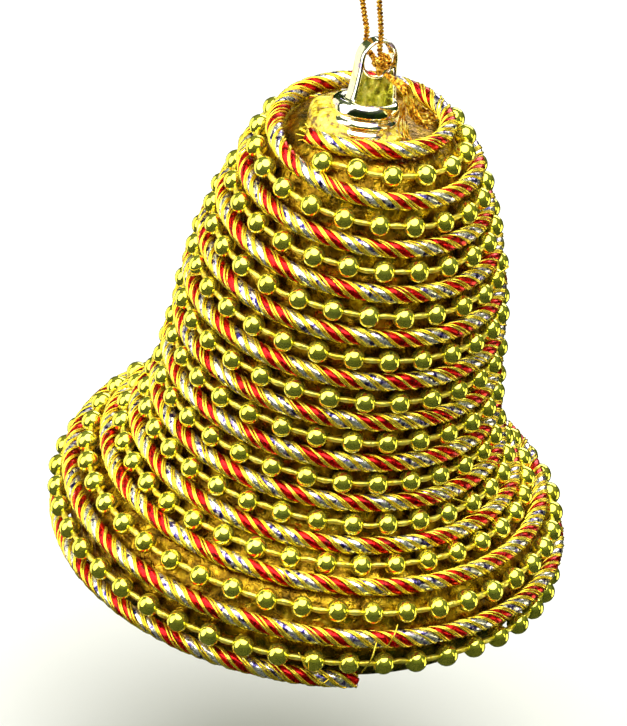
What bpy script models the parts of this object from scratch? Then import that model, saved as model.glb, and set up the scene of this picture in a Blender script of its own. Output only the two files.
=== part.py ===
"""Christmas bell ornament: a hollow bell wound with a bead garland and a twisted foil cord.

Metres, +Z up. The origin is the inside of the thread loop's top, where a hook or twig carries it.
Dimensions below are in millimetres. Heights are stated from the crown, the level of the first bead turn,
which hangs LOOP_DROP under the origin.
"""

import math

import bmesh
import bpy
import numpy as np
from mathutils import Matrix, Vector

MM = 0.001
LOOP_DROP = 52.0
GAP = 0.3  # between pieces that touch

# bell core
SHELL_OUTLINE = [  # radius, height: from the neck hole over the shoulder and waist to the lip
    (3.4, 0.6),
    (6.6, 0.5),
    (10.2, -0.1),
    (12.8, -2.5),
    (16.9, -11.6),
    (20.4, -24.6),
    (21.8, -38.2),
    (23.9, -49.8),
    (27.7, -56.7),
    (32.6, -61.3),
    (34.7, -65.4),
    (34.6, -69.2),
    (32.8, -73.2),
]
SHELL_WALL = 1.6
EDGE_CLEAR = 0.6  # of the inner wall's points from the rim and the neck hole
SHELL_STEPS = 32
SHELL_RINGS = 17

# windings
BEAD_RADIUS = 1.5
LINK_RADIUS = 0.35
BEAD_PITCH = 5.2
CORD_RADIUS = 1.2
TURN_PITCH = 6.62  # between turns of one winding, along the outline
FIRST_TURN = 8.4  # along the outline, from the neck hole to the first bead turn at the front
FRONT = math.radians(-90)
GARLAND_TURNS = (-0.094, 11.4)
GARLAND_FLARE = (-0.06, 20.0)  # the turn before which the start is led down, and by how much per turn
CORD_TURNS = (-0.64, 11.55)
CORD_FLARE = (-0.48, 9.0)
FLARE_EASE = 0.03  # in turns
CORD_SAG = 0.3  # of the cord's straight stretches from their arcs
GARLAND_SAG = 0.005

# cap: heights from the underside of its flange; it sits askew in a socket in the crown
CAP_SEAT = (-1.25, -1.88, -0.44)
CAP_LEAN_BACK = math.radians(-16.6)
CAP_LEAN_SIDE = math.radians(-1.4)
EYE_TURN = math.radians(35)
PEG_LENGTH = 3.5
PEG_RADIUS = 1.5
PEG_BORE = 0.75  # radius, for the clapper's hook
BORE_TOP = -1.4
COLLAR_TOP = 5.5
FLANGE_RADIUS = 5.05
COLLAR_OUTLINE = [  # radius, height: three rounded tiers
    (0.0, COLLAR_TOP - 0.1),
    (3.9, COLLAR_TOP),
    (4.6, COLLAR_TOP - 0.15),
    (4.9, COLLAR_TOP - 0.7),
    (4.95, 3.6),
    (4.5, 2.95),
    (4.9, 2.6),
    (5.0, 2.0),
    (4.5, 1.5),
    (4.95, 1.15),
    (FLANGE_RADIUS, 0.5),
    (4.8, 0.0),
    (PEG_RADIUS + 0.1, 0.0),
    (PEG_RADIUS, -PEG_LENGTH),
    (PEG_BORE, -PEG_LENGTH),
    (PEG_BORE, BORE_TOP),
    (0.0, BORE_TOP),
]
SOCKET_ROOM = 0.35  # round the flange
PEG_ROOM = 0.4
SOCKET_FLOOR = -0.5
SOCKET_REACH = 8.0  # of the cutter, up and down
SOCKET_OUTLINE = [
    (0.0, SOCKET_REACH),
    (FLANGE_RADIUS + SOCKET_ROOM, SOCKET_REACH),
    (FLANGE_RADIUS + SOCKET_ROOM, SOCKET_FLOOR),
    (PEG_RADIUS + PEG_ROOM, SOCKET_FLOOR),
    (PEG_RADIUS + PEG_ROOM, -SOCKET_REACH),
    (0.0, -SOCKET_REACH),
]
EYE_SHIFT = 0.75  # of the eye along its own plane from the collar's middle
EYE_CENTRE = 11.35
EYE_HOLE = 2.53
EYE_OUTER = 3.15
EYE_DEPTH = 2.3
EYE_RADIUS = (EYE_HOLE + EYE_OUTER) / 2
LEG_FOOT = 3.75  # half width over the legs at the collar
LEG_TAPER = 0.84
LEG_WIDTH = 0.65
LEG_LOW = COLLAR_TOP - 0.6
WEB_THICKNESS = 0.9
GLUE_OUTLINE = [  # radius beyond the flange, and height from the crown
    (0.7, 1.9),
    (0.95, 1.9),
    (1.15, 1.55),
    (1.15, 0.9),
    (0.7, 0.9),
]
GLUE_PLACE = (-1.3, -1.33)

# hanging thread
THREAD_RADIUS = 0.45
THREAD_SPREAD = 1.9  # of each strand from the eye's bar, at the bar's level
THREAD_SLIP = -0.89  # along the eye's bar, from its highest point to the thread
SWING_GAP = 0.95  # from the bar's level to the cut ends of the thread above and below it
LOOP_ROUTE = (  # in front of the bar, along X, and above the bar
    (THREAD_SPREAD, -0.1, SWING_GAP),
    (2.15, -0.6, 3.3),
    (2.4, -1.49, 7.2),
    (3.0, -2.3, 13.0),
    (3.6, -1.9, 20.5),
    (3.4, -0.5, 28.5),
    (2.2, 0.8, 34.4),
)
KNOT_ROUTE = (
    (THREAD_SPREAD, 0.0, -SWING_GAP),
    (2.1, 0.2, -2.0),
    (2.5, 0.35, -3.2),
    (1.8, 0.2, -3.8),
    (0.9, 0.1, -2.9),
    (-0.5, 0.1, -2.2),
    (-1.6, 0.0, -1.9),
    (-THREAD_SPREAD, 0.0, -SWING_GAP),
)
KNOT_LUMPS = (  # name, radius, and place as above
    ("knot_upper", 1.25, (2.3, 0.3, -2.7)),
    ("knot_lower", 1.15, (2.3, 0.3, -3.5)),
)
TAIL_RADIUS = 0.75
TAIL_SPREAD = 0.08  # added to the radius at each step of the tail
TAIL_STARTS = (  # name, and place as above
    ("hanger_tail_front", (3.0, 0.6, -5.3)),
    ("hanger_tail_side", (2.7, 2.2, -4.6)),
)
TAIL_STOPS = (  # radius, degrees and height from the crown, on the way down each tail
    ((5.1, -46, 7.6), (5.9, -38, 6.2), (7.2, -33, 4.4), (9.4, -29, 4.1)),
    ((5.2, -20, 7.6), (6.3, -9, 6.2), (7.9, -3, 4.7), (9.6, 1, 4.3)),
)

# clapper: heights from the crown
HOOK_HEIGHT = -7.6
HOOK_RADIUS = 1.4
SHANK_TOP = -2.4  # from the underside of the cap's flange
JUMP_RING_RADIUS = 1.9
WIRE_RADIUS = 0.4
STEM_RADIUS = 0.36
STEM_BITE = 0.12  # of the stem into its eye's bar
LINK_BITE = 1.15  # between the middles of two wires where one ring hangs in the next
RING_HEIGHT = HOOK_HEIGHT - HOOK_RADIUS + LINK_BITE - JUMP_RING_RADIUS
BALL_HEIGHT = -50.0
BALL_RADIUS = 6.0
WIRE_HEAD_RADIUS = 1.0
WIRE_HEAD_DROP = 1.4  # under the ball
WIRE_EYE_HEIGHT = RING_HEIGHT - JUMP_RING_RADIUS + LINK_BITE - HOOK_RADIUS

COLOURS = {  # base colour, metallic, roughness
    "core gold": ((0.62, 0.38, 0.06), 0.9, 0.3),
    "bead gold": ((0.83, 0.74, 0.18), 1.0, 0.1),
    "foil": ((0.62, 0.12, 0.05), 0.9, 0.3),
    "cap metal": ((0.80, 0.76, 0.55), 1.0, 0.12),
    "glue": ((0.80, 0.66, 0.12), 0.0, 0.25),
    "thread": ((0.72, 0.40, 0.06), 0.8, 0.4),
    "wire": ((0.75, 0.70, 0.55), 1.0, 0.25),
}


def clear_scene():
    for obj in list(bpy.data.objects):
        bpy.data.objects.remove(obj, do_unlink=True)


def new_collection(name):
    collection = bpy.data.collections.new(name)
    bpy.context.scene.collection.children.link(collection)
    return collection


def material(name):
    colour, metallic, roughness = COLOURS[name]
    mat = bpy.data.materials.get(name) or bpy.data.materials.new(name)
    mat.use_nodes = True
    shader = mat.node_tree.nodes["Principled BSDF"]
    shader.inputs["Base Color"].default_value = (*colour, 1)
    shader.inputs["Metallic"].default_value = metallic
    shader.inputs["Roughness"].default_value = roughness
    mat.diffuse_color = (*colour, 1)
    return mat


def add_object(name, data, colour, collection):
    obj = bpy.data.objects.new(name, data)
    collection.objects.link(obj)
    if colour:
        data.materials.append(material(colour))
    return obj


def from_crown(x, y, height):
    """A point in metres, from millimetres with its height counted from the crown."""
    return Vector((x, y, height - LOOP_DROP)) * MM


def smooth_path(points, steps):
    """Points on a smooth curve through the given ones, evenly spread along it."""
    knots = np.array(points, dtype=float)
    spans = np.linalg.norm(np.diff(knots, axis=0), axis=1)
    at = np.concatenate([[0.0], np.cumsum(spans)])
    slopes = np.gradient(knots, at, axis=0)
    fine = np.linspace(0, at[-1], 40 * len(knots))
    i = np.clip(np.searchsorted(at, fine, side="right") - 1, 0, len(knots) - 2)
    h = spans[i][:, None]
    t = ((fine - at[i]) / spans[i])[:, None]
    curve = (
        (2 * t**3 - 3 * t**2 + 1) * knots[i]
        + (t**3 - 2 * t**2 + t) * h * slopes[i]
        + (3 * t**2 - 2 * t**3) * knots[i + 1]
        + (t**3 - t**2) * h * slopes[i + 1]
    )
    run = path_lengths(curve)
    even = np.linspace(0, run[-1], steps)
    return np.stack([np.interp(even, run, curve[:, k]) for k in range(curve.shape[1])], axis=1)


def path_lengths(points):
    return np.concatenate([[0.0], np.cumsum(np.linalg.norm(np.diff(points, axis=0), axis=1))])


def lathe(name, outline, steps, colour, collection):
    """A turned solid. Its outline runs down the outer side, in millimetres from the object's origin."""
    mesh = bpy.data.meshes.new(name)
    verts = [(radius * MM, 0, height * MM) for radius, height in outline]
    closed = outline[0][0] > 0
    edges = [(i, i + 1) for i in range(len(verts) - 1)]
    if closed:
        edges.append((len(verts) - 1, 0))
    mesh.from_pydata(verts, edges, [])
    obj = add_object(name, mesh, colour, collection)
    screw = obj.modifiers.new("turn", "SCREW")
    screw.steps = screw.render_steps = steps
    screw.use_merge_vertices = True
    screw.merge_threshold = 1e-6
    screw.use_smooth_shade = True
    return obj


def tube(name, points, radius, colour, collection, resolution=2, radii=None):
    """A round tube with closed ends through points in metres."""
    curve = bpy.data.curves.new(name, "CURVE")
    curve.dimensions = "3D"
    curve.bevel_depth = radius * MM
    curve.bevel_resolution = resolution
    curve.use_fill_caps = True
    spline = curve.splines.new("POLY")
    spline.points.add(len(points) - 1)
    for i, point in enumerate(points):
        spline.points[i].co = (*point, 1)
        if radii:
            spline.points[i].radius = radii[i] / radius
    return add_object(name, curve, colour, collection)


def as_mesh(obj):
    """Replace a curve or a modified mesh by the plain mesh that it shows."""
    bpy.context.view_layer.update()
    evaluated = obj.evaluated_get(bpy.context.evaluated_depsgraph_get())
    mesh = bpy.data.meshes.new_from_object(evaluated)
    bm = bmesh.new()
    bm.from_mesh(mesh)
    bmesh.ops.remove_doubles(bm, verts=bm.verts, dist=1e-6)
    bm.to_mesh(mesh)
    bm.free()
    name, matrix, collections = obj.name, obj.matrix_world.copy(), list(obj.users_collection)
    bpy.data.objects.remove(obj, do_unlink=True)
    made = bpy.data.objects.new(name, mesh)
    made.matrix_world = matrix
    for collection in collections:
        collection.objects.link(made)
    return made


def combine(obj, tool, operation):
    """Cut obj with tool, or join the two, and leave the tool hidden."""
    modifier = obj.modifiers.new(tool.name, "BOOLEAN")
    modifier.operation = operation
    modifier.solver = "EXACT"
    modifier.object = tool
    tool.hide_render = True
    tool.display_type = "WIRE"


def torus(name, radius, bar, matrix, colour, collection, steps=(20, 8)):
    bpy.ops.mesh.primitive_torus_add(
        major_radius=radius * MM, minor_radius=bar * MM, major_segments=steps[0], minor_segments=steps[1]
    )
    obj = bpy.context.object
    obj.name = name
    for owner in list(obj.users_collection):
        owner.objects.unlink(obj)
    collection.objects.link(obj)
    if colour:
        obj.data.materials.append(material(colour))
    obj.matrix_world = matrix
    obj.data.shade_smooth()
    return obj


# ---- the bell's outline, and places on it

OUTLINE = smooth_path(SHELL_OUTLINE, 1200)
OUTLINE_RUN = path_lengths(OUTLINE)
OUTLINE_SLOPE = np.gradient(OUTLINE, OUTLINE_RUN, axis=0)


def off_outline(run, out):
    """Radius and height at a distance run along the outline and a distance out from it."""
    radius, height, down_r, down_z = (
        np.interp(run, OUTLINE_RUN, values)
        for values in (OUTLINE[:, 0], OUTLINE[:, 1], OUTLINE_SLOPE[:, 0], OUTLINE_SLOPE[:, 1])
    )
    size = math.hypot(down_r, down_z)
    return radius - down_z / size * out, height + down_r / size * out


def winding_point(turn, lead, out, flare):
    """A point, from the crown, of a winding: lead is its head start on the garland, in turns."""
    flare_turn, spread = flare
    early = flare_turn - turn
    led_down = spread * (early + math.hypot(early, FLARE_EASE))
    radius, height = off_outline(FIRST_TURN + TURN_PITCH * turn + led_down, out)
    angle = FRONT + 2 * math.pi * (turn + lead)
    return radius * math.cos(angle), radius * math.sin(angle), height


def winding_path(turns, lead, out, flare, sag):
    """Points along a winding, closer together where it is wound tighter."""
    points = []
    turn, last = turns
    while turn < last:
        point = winding_point(turn, lead, out, flare)
        points.append(point)
        turn += math.sqrt(8 * sag / math.hypot(point[0], point[1])) / (2 * math.pi)
    points.append(winding_point(last, lead, out, flare))
    return np.array(points)


# ---- pieces

def make_shell(parts, cutters):
    """The bell's wall, with a socket for the cap in its crown."""
    outer = [off_outline(run, 0) for run in np.linspace(0, OUTLINE_RUN[-1], SHELL_RINGS)]
    inner = [off_outline(run, -SHELL_WALL) for run in np.linspace(OUTLINE_RUN[-1], 0, SHELL_RINGS)]
    neck, neck_height = outer[0]
    rim, rim_height = outer[-1]
    inner = [
        (radius, height)
        for radius, height in inner
        if height > rim_height + EDGE_CLEAR and radius > neck + EDGE_CLEAR
    ]
    inner = [(rim - SHELL_WALL, rim_height)] + inner + [(neck, neck_height - SHELL_WALL)]
    shell = lathe("bell_shell", outer + inner, SHELL_STEPS, "core gold", parts)
    shell.location = from_crown(0, 0, 0)
    socket = lathe("cap_socket", SOCKET_OUTLINE, 40, None, cutters)
    socket.matrix_world = cap_matrix()
    combine(shell, socket, "DIFFERENCE")
    return shell


def make_garland(parts):
    """Beads on thin links, as one tube that swells at each bead."""
    path = winding_path(GARLAND_TURNS, 0, BEAD_RADIUS + GAP, GARLAND_FLARE, GARLAND_SAG)
    run = path_lengths(path)
    beads = int((run[-1] - 2 * BEAD_RADIUS) / BEAD_PITCH)
    middles = [BEAD_RADIUS + bead * BEAD_PITCH for bead in range(beads + 1)]
    at = [0.0] + [middle + half for middle in middles for half in (0, BEAD_PITCH / 2)]
    radii = [LINK_RADIUS] + [BEAD_RADIUS, LINK_RADIUS] * len(middles)
    points = [from_crown(*(np.interp(d, run, path[:, k]) for k in range(3))) for d in at]
    return tube("bead_garland", points, BEAD_RADIUS, "bead gold", parts, 0, radii)


def make_cord(parts):
    path = winding_path(CORD_TURNS, 0.5, CORD_RADIUS + GAP + CORD_SAG / 2, CORD_FLARE, CORD_SAG)
    return tube("twisted_cord", [from_crown(*p) for p in path], CORD_RADIUS, "foil", parts, 1)


def cap_matrix():
    place = Matrix.Translation(from_crown(*CAP_SEAT))
    lean = Matrix.Rotation(CAP_LEAN_BACK, 4, "X") @ Matrix.Rotation(CAP_LEAN_SIDE, 4, "Y")
    return place @ lean @ Matrix.Rotation(EYE_TURN, 4, "Z")


def cap_point(x, y, z):
    """A point in metres from millimetres in the cap's own frame, where the eye stands in the XZ plane."""
    return cap_matrix() @ (Vector((x, y, z)) * MM)


def block(name, size, centre, cutters, top_scale=1.0):
    """A box in millimetres, with its upper side narrowed along X."""
    mesh = bpy.data.meshes.new(name)
    bm = bmesh.new()
    bmesh.ops.create_cube(bm, size=1)
    for vert in bm.verts:
        if vert.co.z > 0:
            vert.co.x *= top_scale
    bmesh.ops.scale(bm, vec=Vector(size) * MM, verts=bm.verts)
    bmesh.ops.translate(bm, vec=Vector(centre) * MM, verts=bm.verts)
    bm.to_mesh(mesh)
    bm.free()
    return add_object(name, mesh, None, cutters)


def cylinder(name, radius, depth, segments, matrix, cutters):
    """A plain cylinder in millimetres, along its matrix's Z."""
    mesh = bpy.data.meshes.new(name)
    bm = bmesh.new()
    bmesh.ops.create_cone(
        bm,
        cap_ends=True,
        segments=segments,
        radius1=radius * MM,
        radius2=radius * MM,
        depth=depth * MM,
        matrix=matrix,
    )
    bm.to_mesh(mesh)
    bm.free()
    return add_object(name, mesh, None, cutters)


def sphere(name, radius, segments, rings, centre, colour, collection):
    """A ball in millimetres, with its centre in metres."""
    mesh = bpy.data.meshes.new(name)
    bm = bmesh.new()
    bmesh.ops.create_uvsphere(bm, u_segments=segments, v_segments=rings, radius=radius * MM)
    bm.to_mesh(mesh)
    bm.free()
    mesh.shade_smooth()
    ball = add_object(name, mesh, colour, collection)
    ball.location = centre
    return ball


def make_cap(parts, cutters):
    """Collar, peg and eye in one piece."""
    cap = lathe("cap", COLLAR_OUTLINE, 28, "cap metal", parts)
    half = EYE_DEPTH / 2
    ring_outline = [(EYE_HOLE, half), (EYE_OUTER, half), (EYE_OUTER, -half), (EYE_HOLE, -half)]
    ring = lathe("eye_ring", ring_outline, 32, None, cutters)
    hole = cylinder("eye_hole", EYE_HOLE, 2 * EYE_DEPTH, 32, Matrix.Identity(4), cutters)
    height = EYE_CENTRE - LEG_LOW
    middle = (0, 0, (EYE_CENTRE + LEG_LOW) / 2)
    span = 2 * LEG_FOOT
    legs = block("eye_legs", (span, EYE_DEPTH, height), middle, cutters, LEG_TAPER)
    room_size = (span - 2 * LEG_WIDTH, 2 * EYE_DEPTH, height + 1)
    room = block("leg_gap", room_size, middle, cutters, LEG_TAPER)
    web = block("eye_web", (span - LEG_WIDTH, WEB_THICKNESS, height), middle, cutters, LEG_TAPER)
    combine(legs, room, "DIFFERENCE")
    combine(legs, web, "UNION")
    combine(legs, hole, "DIFFERENCE")
    combine(cap, legs, "UNION")
    combine(cap, ring, "UNION")
    shifted = cap_matrix() @ Matrix.Translation((EYE_SHIFT * MM, 0, 0))
    upright = Matrix.Translation((0, 0, EYE_CENTRE * MM)) @ Matrix.Rotation(math.pi / 2, 4, "X")
    cap.matrix_world = cap_matrix()
    for obj in (legs, room, web):
        obj.matrix_world = shifted
    for obj in (ring, hole):
        obj.matrix_world = shifted @ upright
    return cap


def make_glue(parts):
    """A bead of glue on the crown, round the cap's foot."""
    outline = [(FLANGE_RADIUS + beyond, height) for beyond, height in GLUE_OUTLINE]
    glue = lathe("cap_glue", outline, 28, "glue", parts)
    glue.location = from_crown(*GLUE_PLACE, 0)
    return glue


def thread_bearing():
    """The middle of the eye's bar where the thread bears on it."""
    rise = math.sqrt(EYE_RADIUS**2 - THREAD_SLIP**2)
    return cap_point(EYE_SHIFT + THREAD_SLIP, 0, EYE_CENTRE + rise)


def thread_point(out, lean, rise):
    """A place on the thread, from where it bears on the bar: in front of the eye, along X, and up."""
    front = cap_matrix().to_3x3() @ Vector((0, -1, 0))
    return thread_bearing() + (front * out + Vector((lean, 0, rise))) * MM


def make_loop(parts):
    """The loop above the eye: up in front, over the hook's place and down behind."""
    front = [thread_point(*place) for place in LOOP_ROUTE]
    back = [thread_point(-out, lean, rise) for out, lean, rise in reversed(LOOP_ROUTE)]
    points = smooth_path([*front, Vector((0, 0, THREAD_RADIUS * MM)), *back], 45)
    return tube("hanger_loop", points, THREAD_RADIUS, "thread", parts)


def make_knot(parts, cutters):
    """The thread's turn through the eye, and the knot that closes the loop in front of it."""
    turn = smooth_path([thread_point(*place) for place in KNOT_ROUTE], 22)
    knot = as_mesh(tube("hanger_knot", turn, THREAD_RADIUS, "thread", parts))
    for name, radius, place in KNOT_LUMPS:
        lump = sphere(name, radius, 10, 7, thread_point(*place), None, cutters)
        combine(knot, lump, "UNION")
    return knot


def make_tails(parts):
    """The thread's two loose ends, from the knot over the collar to the first turns."""
    tails = []
    for (name, start), stops in zip(TAIL_STARTS, TAIL_STOPS):
        route = [thread_point(*start)]
        for radius, degrees, height in stops:
            angle = math.radians(degrees)
            route.append(from_crown(radius * math.cos(angle), radius * math.sin(angle), height))
        points = smooth_path(route, 9)
        radii = [min(TAIL_RADIUS, THREAD_RADIUS + TAIL_SPREAD * i) for i in range(len(points))]
        tails.append(tube(name, points, TAIL_RADIUS, "thread", parts, 2, radii))
    return tails


def under_peg(height):
    """A point in metres on the plumb line that the clapper hangs on."""
    line = cap_point(0, 0, -PEG_LENGTH)
    return Vector((line.x, line.y, (height - LOOP_DROP) * MM))


def upright_ring(name, height, parts, across=False):
    """A wire ring on the clapper's line, in the plane of X, or across it."""
    place = Matrix.Translation(under_peg(height))
    turned = Matrix.Rotation(math.pi / 2, 4, "Y" if across else "X")
    radius = JUMP_RING_RADIUS if across else HOOK_RADIUS
    return torus(name, radius, WIRE_RADIUS, place @ turned, "wire", parts)


def make_hook(parts, cutters):
    """The eye in the peg's foot that the clapper hangs from."""
    hook = upright_ring("clapper_hook", HOOK_HEIGHT, parts)
    hook_top = under_peg(HOOK_HEIGHT + HOOK_RADIUS)
    shank_points = [hook_top, cap_point(0, 0, -PEG_LENGTH), cap_point(0, 0, SHANK_TOP)]
    shank = as_mesh(tube("hook_shank", shank_points, WIRE_RADIUS, None, cutters))
    combine(hook, shank, "UNION")
    return hook


def make_clapper(parts, cutters):
    """Jump ring, wire and ball. The ring stands across the hook and the wire's eye."""
    ring = upright_ring("clapper_ring", RING_HEIGHT, parts, across=True)
    wire = upright_ring("clapper_wire", WIRE_EYE_HEIGHT, parts)
    head_height = BALL_HEIGHT - BALL_RADIUS - WIRE_HEAD_DROP
    stem_top = WIRE_EYE_HEIGHT - HOOK_RADIUS + STEM_BITE
    stem_points = [under_peg(stem_top), under_peg(head_height)]
    combine(wire, as_mesh(tube("wire_stem", stem_points, STEM_RADIUS, None, cutters)), "UNION")
    head = sphere("wire_head", WIRE_HEAD_RADIUS, 10, 6, under_peg(head_height), None, cutters)
    combine(wire, head, "UNION")

    ball = sphere("clapper_ball", BALL_RADIUS, 20, 12, under_peg(BALL_HEIGHT), "bead gold", parts)
    bore = cylinder("ball_bore", WIRE_RADIUS + GAP, 3 * BALL_RADIUS, 10, Matrix.Identity(4), cutters)
    bore.location = under_peg(BALL_HEIGHT)
    combine(ball, bore, "DIFFERENCE")
    return ring, wire, ball


def pivot(name, place, parts, parent=None):
    """An empty on a joint's axis, for the pieces that turn about it."""
    empty = add_object(name, None, None, parts)
    empty.empty_display_size = 3 * MM
    empty.location = place
    if parent:
        carry(parent, empty)
    return empty


def carry(parent, *pieces):
    """Parent pieces to an empty and leave them where they are."""
    bpy.context.view_layer.update()
    for piece in pieces:
        piece.parent = parent
        piece.matrix_parent_inverse = parent.matrix_world.inverted()


def main():
    clear_scene()
    parts = new_collection("christmas_bell")
    cutters = new_collection("cutters")
    make_loop(parts)
    knot_pivot = pivot("knot_pivot", thread_bearing(), parts)
    carry(knot_pivot, make_knot(parts, cutters))

    bell_pivot = pivot("bell_pivot", cap_point(EYE_SHIFT, 0, EYE_CENTRE), parts, knot_pivot)
    carry(bell_pivot, make_shell(parts, cutters), make_garland(parts), make_cord(parts))
    carry(bell_pivot, make_cap(parts, cutters))
    carry(bell_pivot, make_glue(parts), *make_tails(parts), make_hook(parts, cutters))

    link_pivot = pivot("link_pivot", under_peg(HOOK_HEIGHT - HOOK_RADIUS), parts, bell_pivot)
    clapper_pivot = pivot("clapper_pivot", under_peg(RING_HEIGHT - JUMP_RING_RADIUS), parts, link_pivot)
    ring, wire, ball = make_clapper(parts, cutters)
    carry(link_pivot, ring)
    carry(clapper_pivot, wire, ball)


main()
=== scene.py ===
"""Looks of the christmas bell ornament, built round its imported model.

Metres and +Z up in the scene. Dimensions below are in millimetres, with heights from the crown, the level
of the first bead turn, which hangs LOOP_DROP under the origin, as in the part's own source.
"""

import math

import bpy
import numpy as np
from mathutils import Matrix, Vector


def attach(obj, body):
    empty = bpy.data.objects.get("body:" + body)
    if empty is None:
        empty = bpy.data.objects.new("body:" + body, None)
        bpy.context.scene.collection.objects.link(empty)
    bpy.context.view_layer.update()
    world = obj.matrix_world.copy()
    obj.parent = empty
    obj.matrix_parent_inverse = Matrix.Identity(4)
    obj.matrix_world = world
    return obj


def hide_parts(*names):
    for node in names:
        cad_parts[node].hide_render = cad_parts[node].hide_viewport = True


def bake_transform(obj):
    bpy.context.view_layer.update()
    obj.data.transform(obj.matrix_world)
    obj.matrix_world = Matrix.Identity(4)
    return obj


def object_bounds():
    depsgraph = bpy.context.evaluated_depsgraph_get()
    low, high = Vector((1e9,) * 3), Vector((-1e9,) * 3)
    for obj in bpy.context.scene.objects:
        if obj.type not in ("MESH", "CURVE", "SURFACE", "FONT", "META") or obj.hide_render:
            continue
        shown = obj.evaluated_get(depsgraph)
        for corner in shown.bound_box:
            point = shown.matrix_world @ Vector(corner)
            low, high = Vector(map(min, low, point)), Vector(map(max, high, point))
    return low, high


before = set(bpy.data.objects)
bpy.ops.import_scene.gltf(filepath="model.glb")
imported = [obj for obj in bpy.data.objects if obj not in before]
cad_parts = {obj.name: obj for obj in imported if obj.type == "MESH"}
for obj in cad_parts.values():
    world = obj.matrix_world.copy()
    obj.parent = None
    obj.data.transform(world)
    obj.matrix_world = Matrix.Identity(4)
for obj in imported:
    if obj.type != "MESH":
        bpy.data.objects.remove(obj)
CAD_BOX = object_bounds()

MM = 0.001
LOOP_DROP = 52.0

# bell core, as in the part
SHELL_OUTLINE = [
    (3.4, 0.6),
    (6.6, 0.5),
    (10.2, -0.1),
    (12.8, -2.5),
    (16.9, -11.6),
    (20.4, -24.6),
    (21.8, -38.2),
    (23.9, -49.8),
    (27.7, -56.7),
    (32.6, -61.3),
    (34.7, -65.4),
    (34.6, -69.2),
    (32.8, -73.2),
]
SHELL_WALL = 1.6
SHELL_STEPS = 176
LIP_ROUND = 0.3
SOCKET_ROOM = 0.35
SOCKET_FLOOR = -0.5
SOCKET_REACH = 8.0
PEG_ROOM = 0.4

# windings, as in the part
GAP = 0.3
BEAD_RADIUS = 1.5
BEAD_PITCH = 5.2
BEAD_FULLNESS = 1.10
CORD_RADIUS = 1.2
CORD_SAG = 0.3
TURN_PITCH = 6.62
FIRST_TURN = 8.4
FRONT = math.radians(-90)
GARLAND_TURNS = (-0.094, 11.4)
GARLAND_FLARE = (-0.06, 20.0)
CORD_TURNS = (-0.64, 11.55)
CORD_FLARE = (-0.48, 9.0)
FLARE_EASE = 0.03

# make of the bead string
BEAD_RINGS = 13
BEAD_SIDES = 22
SEAM_HEIGHT = 0.014  # of the mould's parting line, in bead radii
LINK_RADIUS = 0.29

# make of the twisted cord
CORD_LAY = 9.38
CORD_PHASE = -0.11  # of the first red strand, in turns round the cord
FOIL_SPREAD = 0.70  # of a strand's middle from the cord's
FOIL_SECTION = (0.56, 0.68)
WIRE_SPREAD = 1.19
WIRE_SECTION = 0.175
WIRE_STEP = 0.029  # of a groove's two wires from its middle, in turns round the cord
STRAY_RADIUS = 0.10
CUT_WIRE_RADIUS = 0.11

# cap and eye, as in the part: heights from the underside of the cap's flange
CAP_SEAT = (-1.25, -1.88, -0.44)
CAP_LEAN_BACK = math.radians(-16.6)
CAP_LEAN_SIDE = math.radians(-1.4)
EYE_TURN = math.radians(35)
PEG_LENGTH = 3.5
PEG_RADIUS = 1.5
PEG_BORE = 0.75
BORE_TOP = -1.4
COLLAR_TOP = 5.5
FLANGE_RADIUS = 5.05
EYE_SHIFT = 0.75
EYE_CENTRE = 11.35
EYE_HOLE = 2.53
EYE_OUTER = 3.15
EYE_DEPTH = 2.3
EYE_RADIUS = (EYE_HOLE + EYE_OUTER) / 2
LEG_LOW = COLLAR_TOP - 0.6
COLLAR_OUTLINE = (
    (3.3, 5.38),
    (3.9, COLLAR_TOP),
    (4.55, 5.38),
    (4.88, 4.9),
    (4.96, 4.2),
    (4.88, 3.5),
    (4.5, 3.05),
    (4.85, 2.74),
    (5.0, 2.25),
    (4.88, 1.8),
    (4.5, 1.52),
    (4.9, 1.28),
    (5.06, 0.7),
    (5.0, 0.2),
    (4.8, 0.0),
)
BAR_STEPS = 100
EYE_LIP = 0.42  # of the moulded bead round the hole's front
LEG_OUTLINE = ((3.5, LEG_LOW), (3.36, 6.0), (3.15, 7.6), (2.95, 9.4))
MELT_SIZE = 0.12  # of the remesh that joins collar, eye and peg
WEB_HALF = 2.85

# glue round the cap
GLUE_PLACE = (-1.3, -1.33)
GLUE_INSIDE = 3.9
GLUE_REACH = 5.45
GLUE_RUN_LEFT = 2.7  # as seen from the front, further than its reach elsewhere
GLUE_RUN_RIGHT = 1.3
GLUE_THREAD_RADIUS = 0.13

# thread, as in the part
THREAD_RADIUS = 0.45
THREAD_SPREAD = 1.9
THREAD_SLIP = -0.89
SWING_GAP = 0.95
LOOP_ROUTE = (  # in front of the bar, along X, and above the bar
    (THREAD_SPREAD, -0.1, SWING_GAP),
    (2.15, -0.6, 3.3),
    (2.4, -1.49, 7.2),
    (3.0, -2.3, 13.0),
    (3.6, -1.9, 20.5),
    (3.4, -0.5, 28.5),
    (2.2, 0.8, 34.4),
)
KNOT_PLACE = (2.3, 0.3, -3.1)
THREAD_STEPS = 640
TAIL_STEPS = 70
TAIL_WIRES = 40
FALLEN_WIRES = 5

# clapper, as in the part
HOOK_HEIGHT = -7.6
HOOK_RADIUS = 1.4
SHANK_TOP = -2.4
SHANK_STEPS = 40
SCREW_PITCH = 0.7
JUMP_RING_RADIUS = 1.9
WIRE_RADIUS = 0.4
LINK_BITE = 1.15
BALL_HEIGHT = -50.0
BALL_RADIUS = 6.0
BALL_SEAM = 0.05
STEM_END = 0.9  # under the ball
STEM_HEAD = ((0, 0.45), (0.5, 0.42), (0.88, 0.2), (1.0, -0.1), (0.85, -0.55), (0.45, -0.85), (0, -0.95))
COIL_RADIUS = 0.72
COIL_WIRE_RADIUS = 0.36
COIL_HEIGHT = 2.6

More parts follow.
